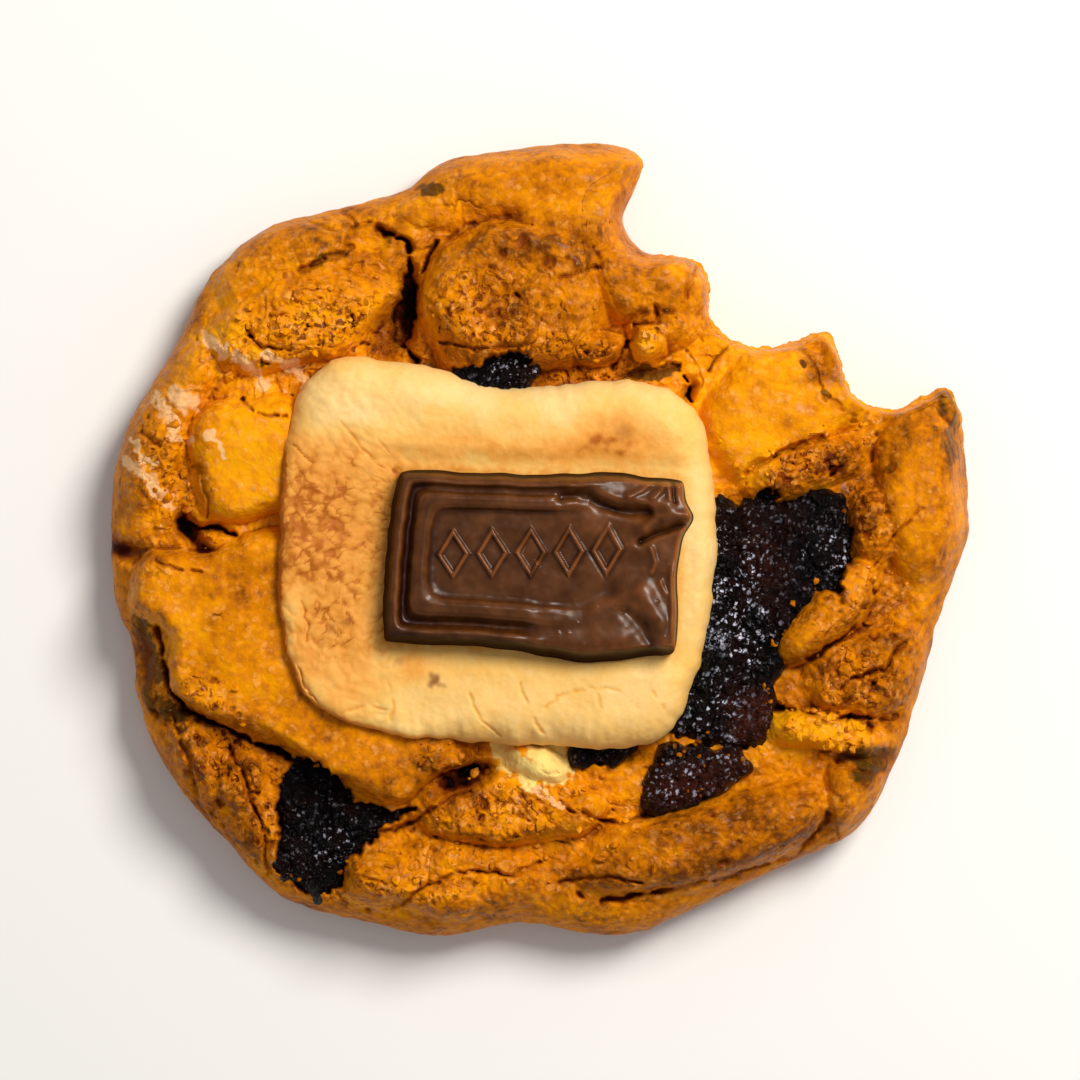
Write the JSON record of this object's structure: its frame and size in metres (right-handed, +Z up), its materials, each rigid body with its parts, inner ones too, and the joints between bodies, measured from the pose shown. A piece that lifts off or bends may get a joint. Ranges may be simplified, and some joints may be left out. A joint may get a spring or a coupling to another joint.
{
  "type": "bitten s'mores cookie",
  "caption": "Thick baked cookie with a bite out of its edge, a toasted square marshmallow sunk in its top, a milk chocolate piece on it and dark chocolate chunks.",
  "frame": {"origin": "middle of the cookie's outline as seen from above, on the flat underside", "axes": "+X to the right along the cookie's longest side, +Y to the back, towards the bite, +Z up"},
  "size_m": [0.0986, 0.0911, 0.0213],
  "materials": {
    "baked_dough": "rough baked crust, golden to brown, a little oily",
    "toasted_marshmallow": "dry toasted skin, cream to light brown",
    "milk_chocolate": "softened milk chocolate with a satin sheen",
    "dark_chocolate": "broken dark chocolate, glossy in spots"
  },
  "bodies": {
    "root": {"cookie": "baked_dough", "marshmallow": "toasted_marshmallow", "chocolate_piece": "milk_chocolate", "chunk_right_back": "dark_chocolate", "chunk_right": "dark_chocolate", "chunk_right_front": "dark_chocolate", "chunk_front": "dark_chocolate", "chunk_front_left": "dark_chocolate", "chunk_back": "dark_chocolate", "chunk_middle_front": "dark_chocolate"}
  },
  "joints": []
}
